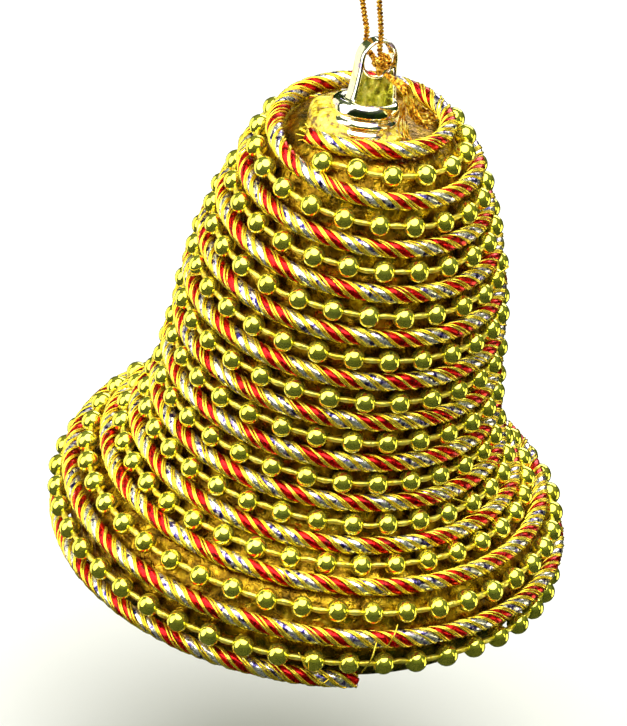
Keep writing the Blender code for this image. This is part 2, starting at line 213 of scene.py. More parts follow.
# camera: a long lens, so that near and far turns show at almost one size
CAMERA_ELEVATION = math.radians(32.284)
CAMERA_ROLL = math.radians(9.455)
CAMERA_DISTANCE = 2.5  # metres
CAMERA_AIM = (-8.32, -33.94)  # of the view's middle from the crown, to the right and up in the view
VIEW_HEIGHT = 104.3
SENSOR = 36.0

# floor, in metres
FLOOR_DROP = 0.045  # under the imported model
FLOOR_HALF = 4.0

RANDOM = np.random.default_rng(7)


# ---- lines and solids

def from_crown(x, y, height):
    """A point in metres, from millimetres with its height counted from the crown."""
    return Vector((x, y, height - LOOP_DROP)) * MM


def path_lengths(points):
    """How far along the line each of its points is."""
    return np.concatenate([[0.0], np.cumsum(np.linalg.norm(np.diff(points, axis=0), axis=1))])


def smooth_path(points, steps):
    """Points on a smooth curve through the given ones, evenly spread along it."""
    knots = np.array(points, dtype=float)
    spans = np.linalg.norm(np.diff(knots, axis=0), axis=1)
    at = np.concatenate([[0.0], np.cumsum(spans)])
    slopes = np.gradient(knots, at, axis=0)
    fine = np.linspace(0, at[-1], 40 * len(knots))
    i = np.clip(np.searchsorted(at, fine, side="right") - 1, 0, len(knots) - 2)
    h = spans[i][:, None]
    t = ((fine - at[i]) / spans[i])[:, None]
    curve = (
        (2 * t**3 - 3 * t**2 + 1) * knots[i]
        + (t**3 - 2 * t**2 + t) * h * slopes[i]
        + (3 * t**2 - 2 * t**3) * knots[i + 1]
        + (t**3 - t**2) * h * slopes[i + 1]
    )
    run = path_lengths(curve)
    even = np.linspace(0, run[-1], steps)
    return np.stack([np.interp(even, run, curve[:, k]) for k in range(curve.shape[1])], axis=1)


def unit(vectors):
    return vectors / np.linalg.norm(vectors, axis=-1, keepdims=True)


def rail(points, outward=None):
    """A line's points with three directions at each: along it, outward, and across both.

    Without an outward direction, one is carried along the line with no twist."""
    points = np.asarray(points, dtype=float)
    along = unit(np.gradient(points, axis=0))
    if outward is None:
        carried = np.cross(along[0], (0.3, 0.5, 0.8))
        outward = []
        for direction in along:
            carried = carried - direction * (carried @ direction)
            carried = carried / np.linalg.norm(carried)
            outward.append(carried)
        outward = np.array(outward)
    outward = unit(outward - along * (outward * along).sum(1)[:, None])
    return points, along, outward, np.cross(along, outward)


def smooth_noise(count, spacing, amount):
    """A slowly varying random value at each of count places."""
    coarse = RANDOM.normal(0, amount, int(count / spacing) + 3)
    return np.interp(np.arange(count) / spacing, np.arange(len(coarse)), coarse)


class Solid:
    """Vertices, faces and their materials, gathered into one mesh."""

    def __init__(self):
        self.verts = []
        self.faces = []
        self.kinds = []
        self.count = 0

    def add(self, verts, faces, kind=0):
        verts = np.asarray(verts, dtype=float).reshape(-1, 3)
        self.verts.append(verts)
        self.faces += [[int(i) + self.count for i in face] for face in faces]
        self.kinds += [kind] * len(faces)
        self.count += len(verts)

    def grid(self, rows, kind=0, around=True, caps=True, closed=False):
        """Rows of points, joined into a skin. The rows run along a tube, and each goes around it."""
        rows = np.asarray(rows, dtype=float)
        n, m = rows.shape[:2]
        last_row = n if closed else n - 1
        last_column = m if around else m - 1
        i, j = np.meshgrid(np.arange(last_row), np.arange(last_column), indexing="ij")
        down, side = (i + 1) % n, (j + 1) % m
        quads = np.stack([i * m + j, i * m + side, down * m + side, down * m + j], axis=-1).reshape(-1, 4)
        faces = quads.tolist()
        if caps and not closed:
            faces.append(list(range(m - 1, -1, -1)))
            faces.append(list(range((n - 1) * m, n * m)))
        self.add(rows.reshape(-1, 3), faces, kind)

    def tube(self, line, radii, sides, kind=0, closed=False, flat=1.0):
        """A tube round a line: radii outward, and flat times as much across."""
        points, _, outward, across = line
        radii = np.broadcast_to(np.asarray(radii, dtype=float), (len(points),))[:, None, None]
        turn = np.arange(sides) * 2 * math.pi / sides
        rows = (
            points[:, None]
            + radii * np.cos(turn)[None, :, None] * outward[:, None]
            + radii * flat * np.sin(turn)[None, :, None] * across[:, None]
        )
        self.grid(rows, kind, closed=closed)

    def turned(self, outline, steps, matrix, kind=0):
        """An outline of (radius, height) in millimetres, run down the outer side and turned about Z.

        An outline that starts off the axis closes on itself, as a ring does."""
        outline = np.array(outline, dtype=float)
        ring = outline[0][0] > 0
        turn = np.arange(steps) * 2 * math.pi / steps
        rows = np.stack(
            [
                outline[:, 0, None] * np.cos(turn),
                outline[:, 0, None] * np.sin(turn),
                np.repeat(outline[:, 1, None], steps, axis=1),
            ],
            axis=-1,
        ) * MM
        rows = np.array([[matrix @ Vector(p) for p in row] for row in rows])
        if ring:
            self.grid(rows[::-1], kind, closed=True)
        else:
            self.grid(rows[1:-1][::-1], kind)

    def build(self, name, *materials):
        mesh = bpy.data.meshes.new(name)
        mesh.from_pydata(np.concatenate(self.verts).tolist(), [], self.faces)
        mesh.polygons.foreach_set("material_index", self.kinds)
        mesh.shade_smooth()
        for mat in materials:
            mesh.materials.append(mat)
        obj = bpy.data.objects.new(name, mesh)
        bpy.context.scene.collection.objects.link(obj)
        return obj


def applied(obj):
    """Replace an object's mesh by what its modifiers make of it."""
    bpy.context.view_layer.update()
    evaluated = obj.evaluated_get(bpy.context.evaluated_depsgraph_get())
    mesh = bpy.data.meshes.new_from_object(evaluated)
    obj.modifiers.clear()
    obj.data = mesh
    return obj


# ---- materials

class Look:
    """A Principled material with procedural colour, roughness and relief in the object's own space."""

    def __init__(self, name, metallic, roughness, **sockets):
        self.mat = bpy.data.materials.new(name)
        self.mat.use_nodes = True
        self.nodes = self.mat.node_tree.nodes
        self.links = self.mat.node_tree.links
        self.shader = self.nodes["Principled BSDF"]
        self.shader.inputs["Metallic"].default_value = metallic
        self.shader.inputs["Roughness"].default_value = roughness
        for socket, value in sockets.items():
            self.shader.inputs[socket.replace("_", " ")].default_value = value
        self.place = self.nodes.new("ShaderNodeTexCoord").outputs["Object"]

    def noise(self, size, detail=3.0, rough=0.55, warp=0.0):
        """Cloudy noise with patches of about that size in millimetres."""
        node = self.nodes.new("ShaderNodeTexNoise")
        node.inputs["Scale"].default_value = 1 / (size * MM)
        node.inputs["Detail"].default_value = detail
        node.inputs["Roughness"].default_value = rough
        node.inputs["Distortion"].default_value = warp
        self.links.new(self.place, node.inputs["Vector"])
        return node.outputs["Fac"]

    def cells(self, size):
        """Flat facets of about that size in millimetres, each with its own value."""
        node = self.nodes.new("ShaderNodeTexVoronoi")
        node.inputs["Scale"].default_value = 1 / (size * MM)
        self.links.new(self.place, node.inputs["Vector"])
        split = self.nodes.new("ShaderNodeSeparateColor")
        self.links.new(node.outputs["Color"], split.inputs["Color"])
        return split.outputs["Red"]

    def ramp(self, value, *stops):
        """A colour for the value, from stops of (position, colour)."""
        node = self.nodes.new("ShaderNodeValToRGB")
        elements = node.color_ramp.elements
        while len(elements) < len(stops):
            elements.new(0.5)
        for element, (position, colour) in zip(elements, stops):
            element.position = position
            element.color = (*colour, 1) if len(colour) == 3 else colour
        self.links.new(value, node.inputs["Fac"])
        return node.outputs["Color"]

    def colour(self, value, *stops):
        """Give the surface its colours by a value."""
        self.links.new(self.ramp(value, *stops), self.shader.inputs["Base Color"])
        return self

    def gloss(self, value, low, high):
        """Vary the roughness between low and high by a value."""
        node = self.nodes.new("ShaderNodeMapRange")
        node.inputs["From Min"].default_value = 0.3
        node.inputs["From Max"].default_value = 0.7
        node.inputs["To Min"].default_value = low
        node.inputs["To Max"].default_value = high
        self.links.new(value, node.inputs["Value"])
        self.links.new(node.outputs["Result"], self.shader.inputs["Roughness"])
        return self

    def relief(self, *layers):
        """Bump layers, each a value with its height in millimetres."""
        previous = None
        for value, height in layers:
            node = self.nodes.new("ShaderNodeBump")
            node.inputs["Distance"].default_value = height * MM
            self.links.new(value, node.inputs["Height"])
            if previous:
                self.links.new(previous, node.inputs["Normal"])
            previous = node.outputs["Normal"]
        self.links.new(previous, self.shader.inputs["Normal"])
        return self


def bead_gold():
    look = Look("bead_gold", 0.92, 0.07)
    look.colour(look.noise(5.0), (0.3, (1.0, 0.88, 0.08)), (0.7, (0.92, 0.93, 0.14)))
    look.gloss(look.noise(0.9), 0.05, 0.12)
    return look.relief((look.noise(0.6), 0.006), (look.noise(2.2, 1.0), 0.015)).mat


def link_gold():
    look = Look("link_gold", 0.8, 0.28)
    look.colour(look.noise(0.8), (0.35, (0.95, 0.68, 0.03)), (0.65, (1.0, 0.92, 0.18)))
    return look.relief((look.noise(0.45), 0.12)).mat


def core_gold():
    look = Look("core_gold", 0.95, 0.25)
    look.colour(
        look.noise(2.2, 4.0),
        (0.30, (0.05, 0.026, 0.002)),
        (0.48, (0.25, 0.13, 0.006)),
        (0.62, (0.56, 0.34, 0.015)),
        (0.75, (0.88, 0.66, 0.07)),
    )
    look.gloss(look.noise(1.3), 0.14, 0.42)
    return look.relief((look.noise(0.5), 0.06), (look.noise(1.7, 2.0, warp=1.2), 0.3)).mat


def red_foil():
    look = Look("red_foil", 0.85, 0.26, Coat_Weight=0.15, Coat_Roughness=0.1)
    look.colour(
        look.noise(0.9),
        (0.36, (0.17, 0.0, 0.002)),
        (0.50, (0.66, 0.002, 0.003)),
        (0.70, (0.92, 0.012, 0.008)),
    )
    look.gloss(look.cells(0.4), 0.16, 0.34)
    return look.relief((look.cells(0.4), 0.012), (look.noise(0.5, 2.0), 0.025)).mat


def silver_foil():
    look = Look("silver_foil", 0.9, 0.2)
    # Pale silver foil colour with a violet tint of its own; the navy and dark violet patches are painted
    # reflection of dark surroundings, placed by noise.
    look.colour(
        look.noise(0.9, 3.0),
        (0.37, (0.02, 0.015, 0.14)),
        (0.44, (0.32, 0.24, 0.55)),
        (0.49, (1.0, 0.93, 0.88)),
        (0.61, (1.0, 0.96, 0.90)),
        (0.70, (0.62, 0.46, 0.72)),
    )
    look.gloss(look.cells(0.4), 0.12, 0.28)
    return look.relief((look.cells(0.4), 0.012), (look.noise(0.5, 2.0), 0.02)).mat


def wire_gold():
    look = Look("wire_gold", 0.85, 0.25)
    look.colour(look.noise(0.9), (0.35, (1.0, 0.66, 0.02)), (0.65, (1.0, 0.86, 0.10)))
    return look.relief((look.noise(0.2), 0.02)).mat


def cap_metal():
    look = Look("cap_metal", 1.0, 0.08)
    tint = look.noise(2.6, 2.0, warp=1.5)
    look.colour(
        tint,
        (0.34, (0.55, 0.43, 0.76)),
        (0.42, (0.95, 0.90, 0.78)),
        (0.55, (1.0, 0.97, 0.80)),
        (0.68, (0.94, 0.92, 0.50)),
    )
    look.gloss(look.noise(0.8), 0.05, 0.13)
    return look.relief((look.noise(0.6), 0.015), (look.noise(2.0, 1.0), 0.06)).mat


def web_metal():
    look = Look("web_metal", 0.7, 0.25)
    look.colour(
        look.noise(1.1),
        (0.36, (0.16, 0.15, 0.01)),
        (0.50, (0.62, 0.62, 0.04)),
        (0.66, (1.0, 0.94, 0.20)),
    )
    return look.relief((look.noise(0.5), 0.12)).mat


def hot_glue():
    look = Look("hot_glue", 0.3, 0.15, Coat_Weight=0.5, Coat_Roughness=0.05)
    # Amber and yellow glue colour; the dark brown patches are painted shade for its lumpy recesses, placed
    # by noise.
    look.colour(
        look.noise(1.1),
        (0.36, (0.24, 0.12, 0.003)),
        (0.47, (0.86, 0.62, 0.02)),
        (0.62, (1.0, 0.92, 0.12)),
    )
    return look.relief((look.noise(0.8, 4.0), 0.5)).mat


def thread_gold():
    look = Look("thread_gold", 0.75, 0.28)
    look.colour(
        look.noise(0.45),
        (0.36, (0.07, 0.02, 0.001)),
        (0.46, (0.50, 0.17, 0.003)),
        (0.55, (0.98, 0.50, 0.025)),
        (0.66, (1.0, 0.82, 0.18)),
    )
    return look.relief((look.noise(0.14, 2.0), 0.03)).mat


def frayed_gold():
    look = Look("frayed_gold", 0.75, 0.28)
    look.colour(
        look.noise(0.5),
        (0.38, (0.12, 0.035, 0.001)),
        (0.47, (0.72, 0.27, 0.005)),
        (0.55, (1.0, 0.58, 0.03)),
        (0.66, (1.0, 0.84, 0.16)),
    )
    return look.relief((look.noise(0.14, 2.0), 0.03)).mat


def clapper_metal():
    look = Look("clapper_wire", 1.0, 0.25)
    look.colour(look.noise(1.5), (0.35, (0.62, 0.56, 0.42)), (0.65, (0.82, 0.77, 0.60)))
    look.gloss(look.noise(0.4), 0.16, 0.36)
    return look.relief((look.noise(0.15), 0.01)).mat


# ---- the bell's outline, and places on it

OUTLINE = smooth_path(SHELL_OUTLINE, 1200)
OUTLINE_RUN = path_lengths(OUTLINE)
OUTLINE_SLOPE = np.gradient(OUTLINE, OUTLINE_RUN, axis=0)


def off_outline(run, out):
    """Radius and height in millimetres at a distance run along the outline and a distance out from it."""
    radius, height, down_r, down_z = (
        np.interp(run, OUTLINE_RUN, values)
        for values in (OUTLINE[:, 0], OUTLINE[:, 1], OUTLINE_SLOPE[:, 0], OUTLINE_SLOPE[:, 1])
    )
    size = np.hypot(down_r, down_z)
    return radius - down_z / size * out, height + down_r / size * out


def winding(turns, lead, out, flare):
    """Points in metres on a winding: lead is its head start on the garland, in turns."""
    flare_turn, spread = flare
    early = flare_turn - turns
    led_down = spread * (early + np.hypot(early, FLARE_EASE))
    radius, height = off_outline(FIRST_TURN + TURN_PITCH * turns + led_down, out)
    angle = FRONT + 2 * math.pi * (turns + lead)
    return np.stack([radius * np.cos(angle), radius * np.sin(angle), height - LOOP_DROP], axis=-1) * MM


def winding_rail(span, lead, out, flare, step):
    """A winding's line with a point every step millimetres, and its run in millimetres."""
    turns = np.linspace(*span, 8000)
    run = path_lengths(winding(turns, lead, out, flare)) / MM
    even = np.linspace(0, run[-1], int(run[-1] / step) + 1)
    turns = np.interp(even, run, turns)
    points = winding(turns, lead, out, flare)
    return rail(points, winding(turns, lead, out + 1, flare) - points), even


def along_rail(line, run, at):
    """The rail's values at some distances along it, from its points' own distances."""
    return [np.stack([np.interp(at, run, values[:, k]) for k in range(3)], axis=1) for values in line]


CAP_MATRIX = (
    Matrix.Translation(from_crown(*CAP_SEAT))
    @ Matrix.Rotation(CAP_LEAN_BACK, 4, "X")
    @ Matrix.Rotation(CAP_LEAN_SIDE, 4, "Y")
    @ Matrix.Rotation(EYE_TURN, 4, "Z")
)
EYE_FRONT = CAP_MATRIX.to_3x3() @ Vector((0, -1, 0))


def cap_point(x, y, z):
    """A point in metres, from millimetres on the leaning cap."""
    return CAP_MATRIX @ (Vector((x, y, z)) * MM)


# ---- pieces of the bell

def make_core():
    """The hollow bell, with the socket in its crown that the leaning cap sits in."""
    outer = [off_outline(run, 0) for run in np.linspace(0, OUTLINE_RUN[-1], 90)]
    inner = [off_outline(run, -SHELL_WALL) for run in np.linspace(OUTLINE_RUN[-1], 0, 70)]
    rim, neck = outer[-1], outer[0]
    inner = [(r, z) for r, z in inner if z > rim[1] + 0.5 and r > neck[0] + 0.5]
    lip = [
        (rim[0] - SHELL_WALL / 2 * (1 - math.cos(a)), rim[1] - LIP_ROUND * math.sin(a) + LIP_ROUND)
        for a in np.linspace(0, math.pi, 9)
    ]
    solid = Solid()
    outline = [*outer[:-1], *lip, *inner, (neck[0], neck[1] - SHELL_WALL)]
    solid.turned(outline, SHELL_STEPS, Matrix.Translation(from_crown(0, 0, 0)))
    core = solid.build("bell_core", core_gold())
    wide, narrow = FLANGE_RADIUS + SOCKET_ROOM, PEG_RADIUS + PEG_ROOM
    hollow = [
        (0, SOCKET_REACH),
        (wide, SOCKET_REACH),
        (wide, SOCKET_FLOOR),
        (narrow, SOCKET_FLOOR),
        (narrow, -SOCKET_REACH),
        (0, -SOCKET_REACH),
    ]
    socket = Solid()
    socket.turned(hollow, 96, CAP_MATRIX)
    socket = socket.build("cap_socket")
    cut = core.modifiers.new("socket", "BOOLEAN")
    cut.operation = "DIFFERENCE"
    cut.solver = "EXACT"
    cut.object = socket
    applied(core)
    bpy.data.objects.remove(socket)
    return core


GARLAND_LINE = winding_rail(GARLAND_TURNS, 0, BEAD_RADIUS + GAP, GARLAND_FLARE, 0.4)
BEAD_COUNT = int((GARLAND_LINE[1][-1] - 2 * BEAD_RADIUS) / BEAD_PITCH) + 1


def make_beads():
    """Every bead of the string, with the parting line that its mould left."""
    at = BEAD_RADIUS + BEAD_PITCH * np.arange(BEAD_COUNT)
    polar = np.linspace(0.02, 0.98, BEAD_RINGS) * math.pi
    turn = np.arange(BEAD_SIDES) * 2 * math.pi / BEAD_SIDES
    seam = 1 + SEAM_HEIGHT * np.exp(-((np.sin(turn) / 0.15) ** 2))
    seam_turn = smooth_noise(BEAD_COUNT, 9, 0.5)
    size = BEAD_RADIUS * BEAD_FULLNESS * MM * (1 + RANDOM.normal(0, 0.012, BEAD_COUNT))
    solid = Solid()
    for bead, (centre, along, outward, across) in enumerate(zip(*along_rail(*GARLAND_LINE, at))):
        shift = RANDOM.normal(0, 0.04 * MM, 2)
        centre = centre + outward * shift[0] * 0.5 + across * shift[1]
        angle = turn + seam_turn[bead]
        ray = np.cos(angle)[:, None] * across + np.sin(angle)[:, None] * outward
        rows = centre + size[bead] * (
            -np.cos(polar)[:, None, None] * along
            + (np.sin(polar)[:, None] * seam[None, :])[:, :, None] * ray[None]
        )
        solid.grid(rows[:, ::-1])
    return solid.build("garland_beads", bead_gold())


def make_links():
    """The spindles between the beads, where the string's coating shows."""
    reach = BEAD_PITCH - 2 * BEAD_RADIUS + 0.5
    share = np.linspace(0, 1, 9)
    solid = Solid()
    for middle in BEAD_RADIUS + BEAD_PITCH * (np.arange(BEAD_COUNT - 1) + 0.5):
        points, _, outward, across = along_rail(*GARLAND_LINE, middle + (share - 0.5) * reach)
        bow = np.sin(share * math.pi)[:, None] * MM
        points = points + bow * (outward * RANDOM.normal(0, 0.06) + across * RANDOM.normal(0, 0.1))
        radii = (LINK_RADIUS + RANDOM.uniform(0.13, 0.22) * np.sin(share * math.pi)) * MM
        solid.tube(rail(points, outward), radii, 8)
    return solid.build("garland_links", link_gold())


CORD_LINE = winding_rail(CORD_TURNS, 0.5, CORD_RADIUS + GAP + CORD_SAG / 2, CORD_FLARE, CORD_LAY / 16)


def round_cord(phase, spread):
    """A strand's line that winds round the cord's middle, spread from it."""
    (points, _, outward, across), run = CORD_LINE
    turn = 2 * math.pi * (run / CORD_LAY + CORD_PHASE + phase)[:, None]
    away = np.cos(turn) * outward + np.sin(turn) * across
    return rail(points + away * (np.asarray(spread) * MM).reshape(-1, 1), away)


def make_foil(name, phases, mat):
    """Foil strands of one colour, a little uneven along their length."""
    count = len(CORD_LINE[1])
    solid = Solid()
    thick, wide = FOIL_SECTION
    for phase in phases:
        wander = smooth_noise(count, 11, 0.006)
        line = round_cord(phase + wander, FOIL_SPREAD + smooth_noise(count, 7, 0.03))
        radii = thick * (1 + smooth_noise(count, 5, 0.07)) * MM
        solid.tube(line, radii, 8, flat=wide / thick)
    return solid.build(name, mat)


def make_cord_wires(name, phases, mat):
    """Fine gold wires that lie side by side in the grooves between the strands."""
    count = len(CORD_LINE[1])
    solid = Solid()
    for groove in phases:
        for side in (-1, 1):
            wander = smooth_noise(count, 9, 0.017)
            spread = WIRE_SPREAD + smooth_noise(count, 6, 0.04)
            line = round_cord(groove + side * WIRE_STEP + wander, spread)
            radii = WIRE_SECTION * (1 + smooth_noise(count, 4, 0.12)) * MM
            solid.tube(line, radii, 5)
    return solid.build(name, mat)


STRAYS = (  # from and to (run along the outline, degrees), and the most that each stands off the cord
    ((80.0, -86.8), (81.2, -85.0), (82.4, -83.6), 0.9),
    ((82.4, -72.0), (79.6, -71.0), (78.3, -69.8), 1.3),
    ((79.1, -67.4), (77.6, -66.3), (76.5, -64.8), 1.1),
    ((84.1, -81.4), (83.5, -80.3), (83.3, -79.0), 0.8),
    ((27.9, -15.0), (27.5, -9.7), (28.7, -3.5), 1.5),
    ((33.5, -166.0), (34.6, -160.0), (33.0, -154.0), 0.9),
    ((60.0, -40.0), (61.2, -36.0), (60.4, -31.0), 0.9),
    ((47.0, 96.0), (48.2, 101.0), (46.6, 106.0), 1.0),
    ((70.5, 60.0), (69.8, 63.0), (71.6, 66.0), 1.0),
)
CUT_END = (  # the cord's start: how far each loose wire of it reaches along, out and across
    (1.5, 0.5, -0.9),
    (1.9, 0.2, -0.3),
    (1.3, 0.8, 0.2),
    (1.7, 0.3, 0.7),
    (1.2, -0.3, 1.0),
    (1.6, -0.4, -0.5),
)


def make_stray_wires(mat):
    """Loose loops of the cord's gold wire that stand off the bell, and the ends at its start."""
    solid = Solid()
    for *stops, lift in STRAYS:
        rise = (0, lift, 0.2 * lift)
        points = []
        for (run, degrees), out in zip(stops, rise):
            radius, height = off_outline(run, 2 * CORD_RADIUS + GAP + out)
            angle = math.radians(degrees)
            points.append(from_crown(radius * math.cos(angle), radius * math.sin(angle), height))
        solid.tube(rail(smooth_path(points, 24)), STRAY_RADIUS * MM, 6)
    start, along, outward, across = (values[0] for values in CORD_LINE[0])
    for reach, out, side in CUT_END:
        away = outward * out + across * side
        points = [start + along * MM, start + away * 0.6 * MM, start - along * reach * MM + away * 1.3 * MM]
        solid.tube(rail(smooth_path(points, 16)), CUT_WIRE_RADIUS * MM, 6)
    return solid.build("stray_wires", mat)


# ---- cap, eye and glue

def bar_section(points, front, radial, deep):
    """A bar with a rounded oblong section round a line, radial by deep in half widths."""
    line = rail(points, front)
    turn = np.arange(20) * 2 * math.pi / 20
    square = (np.abs(np.cos(turn)) ** 3.5 + np.abs(np.sin(turn)) ** 3.5) ** (-1 / 3.5)
    middle, _, outward, across = line
    return (
        middle[:, None]
        + (square * np.cos(turn))[None, :, None] * outward[:, None] * deep[:, None, None]
        + (square * np.sin(turn))[None, :, None] * across[:, None] * radial[:, None, None]
    )


def make_cap():
    """Collar, eye and peg, melted into one skin as a moulding is."""
    tiers = smooth_path(COLLAR_OUTLINE, 70)
    peg = [(PEG_RADIUS + 0.1, 0.0), (PEG_RADIUS, -PEG_LENGTH), (PEG_BORE, -PEG_LENGTH)]
    solid = Solid()
    solid.turned([(0, 5.3), (0.6, 5.3), *tiers, *peg, (PEG_BORE, BORE_TOP), (0, BORE_TOP)], 120, CAP_MATRIX)
    arc = np.linspace(0, math.pi, 36)
    ring = [(EYE_RADIUS * math.cos(a), EYE_CENTRE + EYE_RADIUS * math.sin(a)) for a in arc]
    bar = smooth_path([*LEG_OUTLINE, *ring, *[(-x, z) for x, z in reversed(LEG_OUTLINE)]], BAR_STEPS)
    foot = np.clip((np.abs(np.linspace(-1, 1, BAR_STEPS)) - 0.75) / 0.25, 0, 1) ** 2
    points = np.array([cap_point(EYE_SHIFT + x, 0, z) for x, z in bar])
    front = np.array([EYE_FRONT] * len(points))
    thick = (EYE_OUTER - EYE_HOLE) / 2
    solid.grid(bar_section(points, front, (thick + 0.2 * foot) * MM, (EYE_DEPTH / 2 + 0.1 * foot) * MM))
    hole_radius = EYE_HOLE + 0.12
    lip = [
        cap_point(EYE_SHIFT + hole_radius * math.cos(a), -0.45, EYE_CENTRE + hole_radius * math.sin(a))
        for a in np.linspace(math.radians(150), math.radians(375), 60)
    ]
    solid.tube(rail(lip, front[: len(lip)]), EYE_LIP * MM, 12, flat=0.6)
    obj = solid.build("cap_and_eye", cap_metal())
    melt = obj.modifiers.new("melt", "REMESH")
    melt.mode = "VOXEL"
    melt.voxel_size = MELT_SIZE * MM
    melt.use_smooth_shade = True
    smooth = obj.modifiers.new("smooth", "SMOOTH")
    smooth.factor = 0.6
    smooth.iterations = 8
    return applied(obj)


def make_web(mat):
    """The thin web between the eye's legs, up to the hole, uneven from the mould."""
    solid = Solid()
    share = np.linspace(0, 1, 16)
    for face in (-1, 1):
        skin = []
        for x in np.linspace(-WEB_HALF, WEB_HALF, 46):
            top = EYE_CENTRE - math.sqrt(max(EYE_HOLE**2 - x**2, 0.2))
            uneven = 0.42 + 0.07 * np.sin(x * 2.3 + share * 5) + 0.05 * np.sin(x * 5.1 - share * 9)
            places = [
                (EYE_SHIFT + x * (1.14 - 0.14 * s), d, LEG_LOW + (top - LEG_LOW) * s)
                for s, d in zip(share, uneven)
            ]
            near = [cap_point(x, face * d, z) for x, d, z in places]
            middle = [cap_point(x, 0, z) for x, d, z in places]
            skin.append([*near, *reversed(middle)])
        skin = np.array(skin)
        solid.grid(skin if face < 0 else skin[:, ::-1])
    return solid.build("eye_web", mat)


GLUE_THREADS = (  # from and to in degrees round the cap, and how far each stands up
    (160, 210, 1.1),
    (195, 160, 0.9),
    (225, 250, 0.7),
    (300, 330, 0.8),
    (185, 225, 0.6),
)


def make_glue(mat):
    """The glue round the cap's foot, run out over the crown, with threads drawn from it."""
    steps, rings = 110, 16
    centre_x, centre_y = GLUE_PLACE
    angle = np.arange(steps) * 2 * math.pi / steps
    uneven = sum(
        RANDOM.normal(0, 0.32) * np.cos(k * angle + RANDOM.uniform(0, 6.28)) for k in (2, 3, 5, 7, 9)
    )
    left = np.clip(np.cos(angle - math.radians(170)), 0, 1) ** 0.7
    right = np.clip(np.cos(angle - math.radians(-15)), 0, 1) ** 2
    reach = GLUE_REACH + GLUE_RUN_LEFT * left + GLUE_RUN_RIGHT * right + 0.25 * uneven
    share = np.linspace(0, 1, rings)[:, None]
    radius = GLUE_INSIDE + (reach - GLUE_INSIDE) * np.sin(share * math.pi / 2)
    x, y = centre_x + radius * np.cos(angle), centre_y + radius * np.sin(angle)
    crown = np.interp(np.hypot(x, y), OUTLINE[:, 0], OUTLINE[:, 1])
    ripple = 0.12 * np.sin(angle * 17 + share * 6) + 0.1 * np.sin(angle * 29 - share * 9)
    thick = (0.7 + 2.0 * left + 1.0 * right) * np.sqrt(np.clip(1 - share**2.2, 0, 1)) * (1 + 0.15 * uneven)
    cover = crown + 0.06 + thick + ripple * (1 - share) * share * 3
    top = np.stack([x, y, cover - LOOP_DROP], axis=-1) * MM
    low = np.stack([x, y, crown - 0.1 - LOOP_DROP], axis=-1) * MM
    solid = Solid()
    solid.grid(np.concatenate([low, top[::-1]]), closed=True)
    for start, end, lift in GLUE_THREADS:
        share = np.linspace(0, 1, 20)
        turn = np.radians(start + (end - start) * share)
        radii = 7.4 + 2.0 * share
        heights = np.interp(radii, OUTLINE[:, 0], OUTLINE[:, 1]) + 0.5 + lift * np.sin(share * math.pi)
        points = [from_crown(r * math.cos(a), r * math.sin(a), z) for r, a, z in zip(radii, turn, heights)]
        solid.tube(rail(points), GLUE_THREAD_RADIUS * MM, 6)
    return solid.build("cap_glue_run", mat)


# ---- hanging thread

BEARING = cap_point(EYE_SHIFT + THREAD_SLIP, 0, EYE_CENTRE + math.sqrt(EYE_RADIUS**2 - THREAD_SLIP**2))


def thread_point(out, lean, rise):
    """A place on the thread, from where it bears on the bar: in front of the eye, along X, and up."""
    return BEARING + (EYE_FRONT * out + Vector((lean, 0, rise))) * MM


def thread_route():
    """From the knot up in front of the eye's bar, round the loop, and back through the eye to the knot."""
    up = [KNOT_PLACE, (2.1, 0.2, -2.0), (THREAD_SPREAD, 0.0, -SWING_GAP), *LOOP_ROUTE]
    down = [
        *((-out, lean, rise) for out, lean, rise in reversed(LOOP_ROUTE)),
        (-THREAD_SPREAD, 0.0, -SWING_GAP),
        (-1.6, 0.0, -1.9),
        (-0.5, 0.1, -2.2),
        (0.9, 0.1, -2.9),
        (1.7, 0.2, -3.6),
    ]
    top = Vector((0, 0, THREAD_RADIUS * MM))
    return [*(thread_point(*place) for place in up), top, *(thread_point(*place) for place in down)]


def plait(solid, points, radius, wave, plies=3, sides=6):
    """A flat plait round a line: each ply swings across it and passes over and under the others."""
    middle, _, outward, across = rail(points)
    run = path_lengths(middle)[:, None]
    for ply in range(plies):
        turn = 2 * math.pi * (run / (wave * MM) + ply / plies)
        shift = across * np.sin(turn) * radius * 0.62 + outward * np.sin(2 * turn) * radius * 0.42
        solid.tube(rail(middle + shift * MM, outward), radius * 0.4 * MM, sides)


def make_thread(mat):
    """The plaited thread, with points along its middle and its length in metres."""
    fine = smooth_path(thread_route(), THREAD_STEPS)
    solid = Solid()
    plait(solid, fine, THREAD_RADIUS, 1.9)
    thread = solid.build("hanging_thread", mat)
    length = path_lengths(fine)[-1]
    return thread, fine[::4], length


def make_knot(mat):
    """A tight overhand knot in front of the eye."""
    centre = thread_point(*KNOT_PLACE)
    turn = np.linspace(0, 2 * math.pi, 130)
    across = np.sin(turn) + 2 * np.sin(2 * turn)
    depth = -1.3 * np.sin(3 * turn)
    height = np.cos(turn) - 2 * np.cos(2 * turn)
    flat = np.stack([across, depth, height], axis=1)
    turned = np.array(Matrix.Rotation(math.radians(30), 3, "Z"))
    points = np.array(centre) + flat @ turned.T * (0.38, 0.36, 0.5) * MM
    solid = Solid()
    plait(solid, points, 1.1 * THREAD_RADIUS, 1.5)
    inner = 0.6 * flat @ turned.T * (0.36, 0.5, 0.5) * MM + np.array(centre)
    plait(solid, inner, 1.1 * THREAD_RADIUS, 1.5)
    return solid.build("thread_knot", mat), centre


TAIL_EDGES = (  # start on the thread, then radius, degrees and height from the crown on the way down
    (
        (2.9, 0.3, -4.9),
        ((5.0, -46, 8.3), (5.5, -42, 6.9), (6.6, -36, 4.9), (7.8, -30, 3.9), (9.0, -26, 3.4)),
    ),
    (
        (2.8, 1.2, -4.2),
        ((5.0, -27, 8.8), (5.3, -20, 7.5), (6.4, -9, 5.9), (7.9, -2, 4.4), (9.4, 2, 3.5)),
    ),
)


